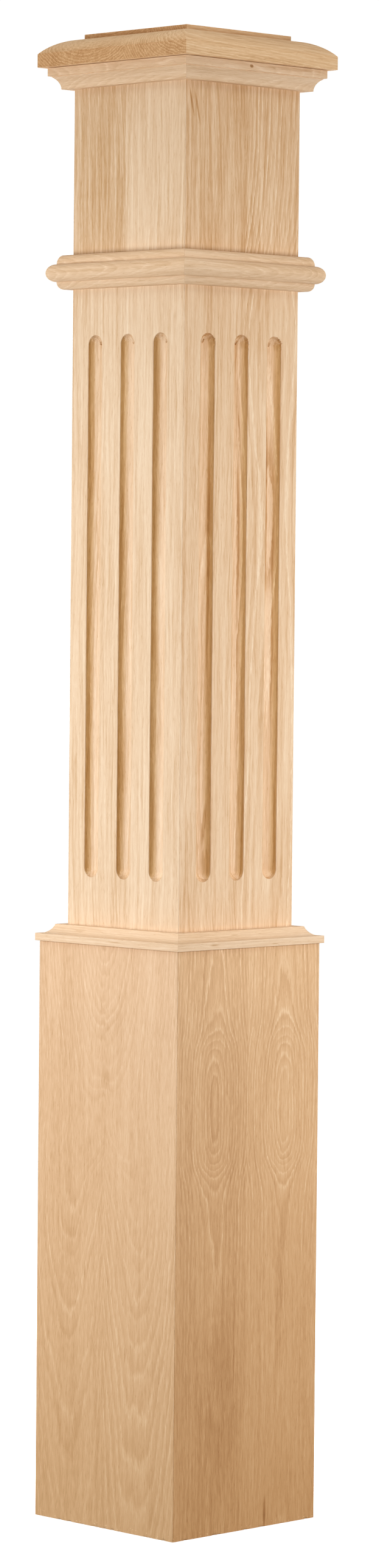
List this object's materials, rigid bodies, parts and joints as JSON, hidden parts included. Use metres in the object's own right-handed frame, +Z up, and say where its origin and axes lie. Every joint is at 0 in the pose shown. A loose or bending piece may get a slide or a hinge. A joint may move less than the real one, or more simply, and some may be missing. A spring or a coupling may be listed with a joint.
{
  "type": "box newel post",
  "caption": "Square hollow oak stair post with stopped flutes, a wrapped box base, a moulded neck band and a raised square cap.",
  "frame": {"origin": "centre of the foot, on the floor", "axes": "+Z up along the post, -Y the front face, +X the right face"},
  "size_m": [0.2032, 0.2032, 1.4224],
  "materials": {
    "cap": "planed and sanded oak, no stain or varnish",
    "cap_moulding": "planed and sanded oak, no stain or varnish",
    "shaft": "planed and sanded oak, no stain or varnish",
    "band_moulding": "planed and sanded oak, no stain or varnish",
    "base_moulding": "planed and sanded oak, no stain or varnish",
    "base": "planed and sanded oak, no stain or varnish"
  },
  "bodies": {
    "root": {"cap": "cap", "cap_moulding_front": "cap_moulding", "cap_moulding_right": "cap_moulding", "cap_moulding_back": "cap_moulding", "cap_moulding_left": "cap_moulding", "shaft_board_front": "shaft", "shaft_board_right": "shaft", "shaft_board_back": "shaft", "shaft_board_left": "shaft", "band_moulding_front": "band_moulding", "band_moulding_right": "band_moulding", "band_moulding_back": "band_moulding", "band_moulding_left": "band_moulding", "base_moulding_front": "base_moulding", "base_moulding_right": "base_moulding", "base_moulding_back": "base_moulding", "base_moulding_left": "base_moulding", "base_board_front": "base", "base_board_right": "base", "base_board_back": "base", "base_board_left": "base"}
  },
  "joints": []
}
